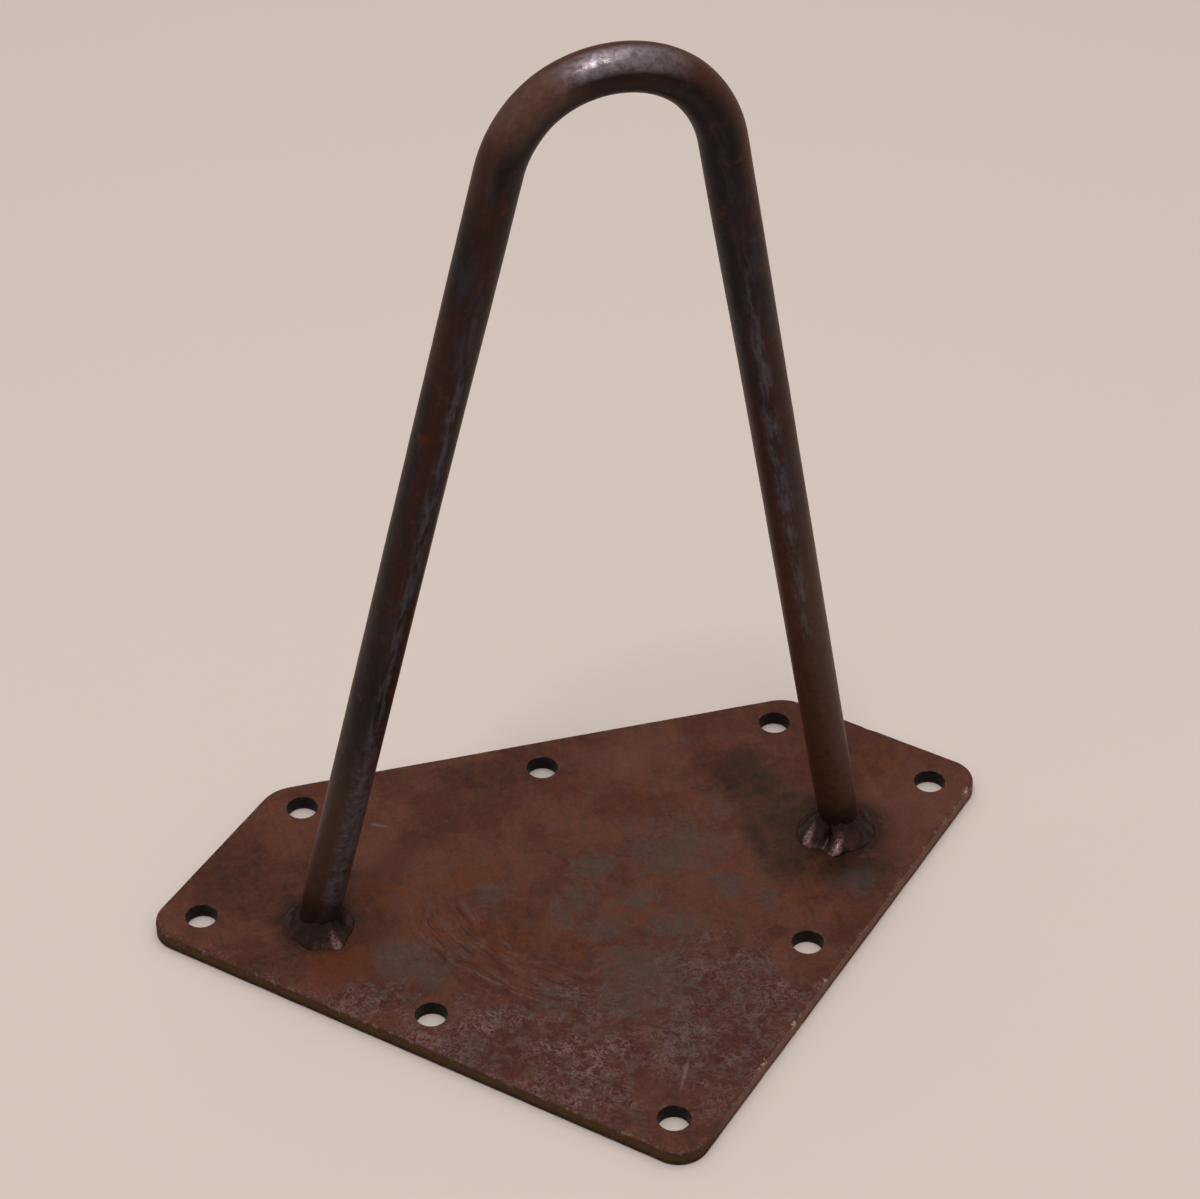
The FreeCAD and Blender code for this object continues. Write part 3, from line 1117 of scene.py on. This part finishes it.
def weld_metal():
    """Weld metal, dark brown, with painted shade towards the bar, darker at its toe, and rubbed bright
    metal with a painted highlight on its crests.
    """
    s = Shader("weld_metal")
    place = s.place()
    blotch = s.noise(place, 4, 5, 0.6, 0.4)
    grain = s.noise(place, 0.7, 5, 0.7)
    rise = s.attribute("bead_rise")
    highlight_and_dark = s.attribute("bead_highlight_and_dark")
    # painted shade towards the bar, where the bead meets it, and darker at the toe
    dark = s.math("MAXIMUM", s.step(rise, 0.08, 0.0), s.step(rise, 0.3, 0.8))
    crest = s.product(s.step(rise, 0.1, 0.26), s.step(rise, 0.72, 0.4), s.step(grain, 0.35, 0.6))
    # rubbed bright metal on the crests, lightened as a painted highlight
    bare_and_highlight = s.product(s.step(highlight_and_dark, 0.55, 1.0), crest)
    colour = s.blend(s.step(blotch, 0.4, 0.6), weld_dark, weld_brown)
    colour = s.over(colour, weld_dark, dark, 0.85)
    # a darker colour where the bead's highlight value is below 0
    colour = s.over(colour, weld_dark, s.step(highlight_and_dark, 0.0, -0.5), 0.7)
    colour = s.over(colour, weld_bare_highlight, bare_and_highlight, 0.8)
    colour = s.tinted(colour, s.line(grain, 1.0, 0.5))
    rough = s.line(blotch, 0.2, 0.15)
    looks = {"Base_Color": colour, "Roughness": rough, "Metallic": s.product(bare_and_highlight, 0.4)}
    gloss = {"Specular_IOR_Level": weld_gloss, "Specular_Tint": linear(weld_tint)}
    return s.finish(s.surface(**looks, **gloss, Normal=s.bump(grain, 0.05)))


# Studio
camera_place = (-170.5155, -663.0885, 667.705)
camera_azimuth = -14.795
camera_elevation = 40.111
camera_roll = -0.132
camera_lens = 117.608
camera_sensor = 36.0
camera_range = (0.01, 100.0)
floor_reach = 6000.0
floor_fade = (450.0, 2200.0)
floor_roughness = 0.9
floor_gloss = 0.1
horizon_level = 0.13
overhead_level = 1.0
key_place = (100.0, 150.0, 1200.0)
key_size = 900.0
key_energy = 3.3
front_place = (-185.0, -390.0, 1220.0)
front_size = 150.0
front_energy = 4.6
lamp_aim = (0.0, 0.0, 60.0)


def make_camera():
    azimuth, elevation, roll = (math.radians(a) for a in (camera_azimuth, camera_elevation, camera_roll))
    flat = math.cos(elevation)
    back = Vector((math.sin(azimuth) * flat, -math.cos(azimuth) * flat, math.sin(elevation)))
    right = Vector((math.cos(azimuth), math.sin(azimuth), 0))
    up = back.cross(right)
    side = right * math.cos(roll) + up * math.sin(roll)
    top = up * math.cos(roll) - right * math.sin(roll)
    camera = bpy.data.objects.new("camera", bpy.data.cameras.new("camera"))
    camera.data.lens = camera_lens
    camera.data.sensor_width = camera_sensor
    camera.data.clip_start, camera.data.clip_end = camera_range
    turn = Matrix((side, top, back)).transposed().to_4x4()
    camera.matrix_world = Matrix.Translation(Vector(camera_place) * METRE) @ turn
    bpy.context.scene.collection.objects.link(camera)
    bpy.context.scene.camera = camera


def make_floor():
    """A plain pale floor that runs into the backdrop's colour far from the part."""
    s = Shader("floor")
    far = s.product(s.step(s.length(s.place()), *floor_fade), s.seen())
    matt = {"Roughness": floor_roughness, "Specular_IOR_Level": floor_gloss}
    near_look = s.surface(Base_Color=linear(floor_colour), **matt)
    far_look = s.add("Emission", {"Color": linear(floor_colour)}).outputs[0]
    material = s.finish(s.add("MixShader", {0: far, 1: near_look, 2: far_look}).outputs[0])
    reach = floor_reach * METRE
    corners = [(-reach, -reach, 0), (reach, -reach, 0), (reach, reach, 0), (-reach, reach, 0)]
    mesh = bpy.data.meshes.new("floor")
    mesh.from_pydata(corners, [], [(0, 1, 2, 3)])
    mesh.materials.append(material)
    floor = bpy.data.objects.new("floor", mesh)
    bpy.context.scene.collection.objects.link(floor)


def make_lamp(name, place, size, energy):
    lamp = bpy.data.lights.new(name, "AREA")
    lamp.shape = "DISK"
    lamp.size = size * METRE
    lamp.energy = energy
    holder = bpy.data.objects.new(name, lamp)
    holder.location = Vector(place) * METRE
    aim = Vector(lamp_aim) * METRE - holder.location
    holder.rotation_euler = aim.to_track_quat("-Z", "Y").to_euler()
    bpy.context.scene.collection.objects.link(holder)


def make_world():
    """Soft light, stronger from above. The camera and gloss see the backdrop's pale colour instead."""
    s = Shader("studio", world=True)
    direction = s.add("TexCoord", {}).outputs["Generated"]
    height = s.axes(direction)[2]
    level = s.add("MapRange", {0: height, 3: horizon_level, 4: overhead_level}).outputs[0]
    light = s.add("Background", {0: (1.0, 1.0, 1.0, 1.0), 1: level}).outputs[0]
    backdrop = s.add("Background", {0: linear(floor_colour)}).outputs[0]
    bpy.context.scene.world = s.finish(s.add("MixShader", {0: s.seen(), 1: light, 2: backdrop}).outputs[0])


def main():
    plate = make_plate(plate_steel())
    rod = make_rod(rod_steel())
    weld = weld_metal()
    right = (right_weld_reach, right_weld_climb, right_ripples, right_lumps, right_seed)
    left = (left_weld_reach, left_weld_climb, left_ripples, left_lumps, left_seed)
    bead_right = make_weld("bead_right", 1, right, weld)
    bead_left = make_weld("bead_left", -1, left, weld)
    for piece, node, slot in (
        (plate, "mounting_plate", "plate_steel"),
        (rod, "hairpin_rod", "rod_steel"),
        (bead_right, "weld_right", "weld_metal"),
        (bead_left, "weld_left", "weld_metal"),
    ):
        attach(piece, "root")
        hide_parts(node)
    make_floor()
    make_world()
    make_lamp("key", key_place, key_size, key_energy)
    make_lamp("front", front_place, front_size, front_energy)
    make_camera()
    bpy.context.scene.view_settings.view_transform = "Standard"


main()
